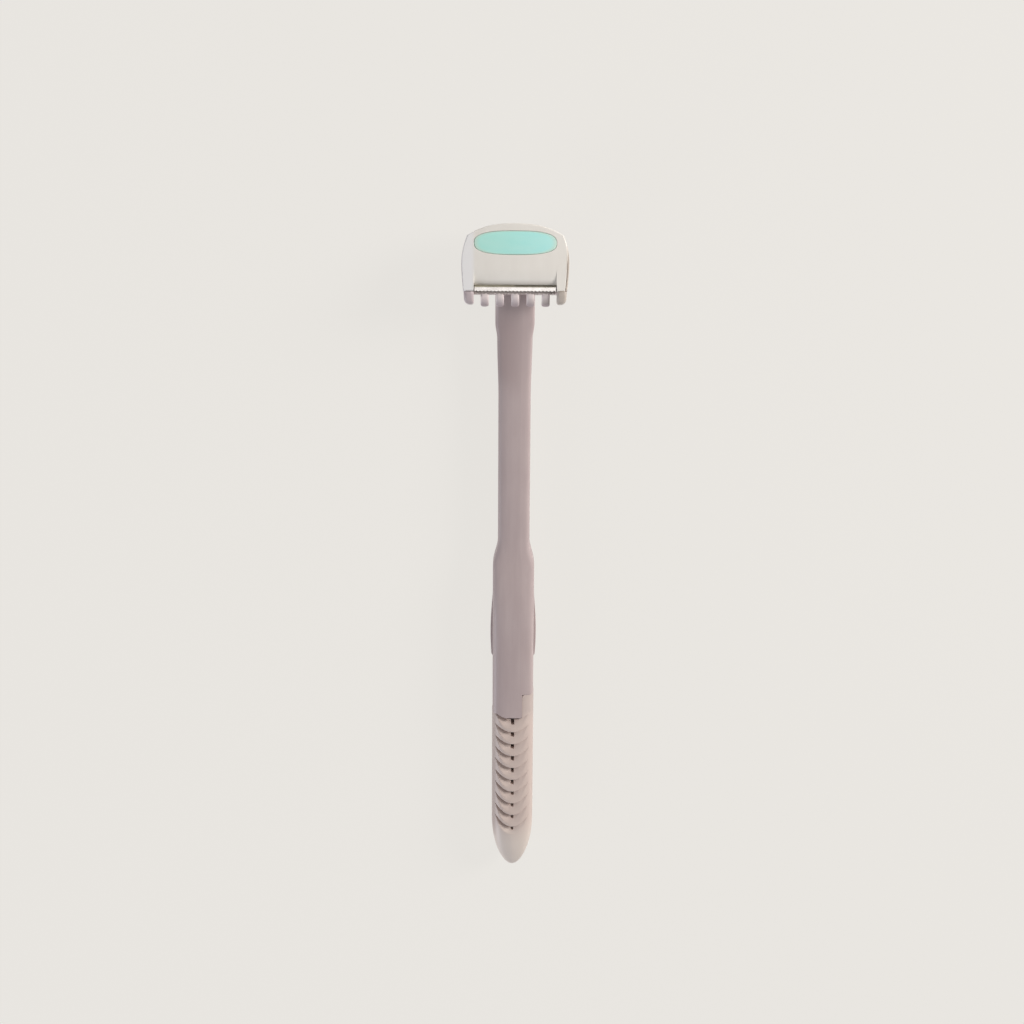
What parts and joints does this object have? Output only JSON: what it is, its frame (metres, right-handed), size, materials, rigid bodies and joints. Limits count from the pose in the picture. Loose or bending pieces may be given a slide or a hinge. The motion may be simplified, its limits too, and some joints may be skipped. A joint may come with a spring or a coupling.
{
  "type": "precision hair trimmer",
  "caption": "Slim hand trimmer with a pivoting comb head, steel blade behind a toothed guard, soft strip, and a vented pull-off tail cap over a small second blade.",
  "frame": {"origin": "centre of the base of the bounding box: the tool lies on its flat back", "axes": "+Y along the handle towards the head, +X across with the cap's index tab on the +X side, +Z out of the front where the comb and louvres face"},
  "size_m": [0.022, 0.15, 0.0152],
  "materials": {
    "mauve_plastic": "satin moulded",
    "beige_plastic": "satin moulded",
    "white_plastic": "satin moulded",
    "grey_plastic": "moulded",
    "grey_rubber": "soft moulded",
    "mint_strip": "soft waxy",
    "steel": "ground and polished"
  },
  "bodies": {
    "handle": {"handle_front_shell": "mauve_plastic", "handle_back_shell": "mauve_plastic", "neck_yoke": "mauve_plastic", "pivot_pin": "steel", "return_leaf": "steel", "detail_carrier": "mauve_plastic", "detail_blade": "steel", "detail_guard": "steel", "detail_rivet_front": "steel", "detail_rivet_rear": "steel"},
    "head": {"comb_base": "white_plastic", "pivot_saddle": "grey_plastic", "blade_platform": "grey_plastic", "main_blade": "steel", "guard_strip": "steel", "guard_fins": "grey_rubber", "head_cover": "white_plastic", "lubricating_strip": "mint_strip"},
    "cap": {"end_cap": "beige_plastic"}
  },
  "joints": [
    {"name": "head_pivot", "type": "hinge", "parent": "handle", "child": "head", "pos_m": [0, 0.0639, 0.00581], "axis": [-1, 0, 0], "range_deg": [0, 25], "stiffness_Nm_per_rad": 0.012, "deforming": ["return_leaf"]},
    {"name": "cap_slide", "type": "slide", "parent": "handle", "child": "cap", "axis": [0, -1, 0], "range_m": [0, 0.045]}
  ]
}
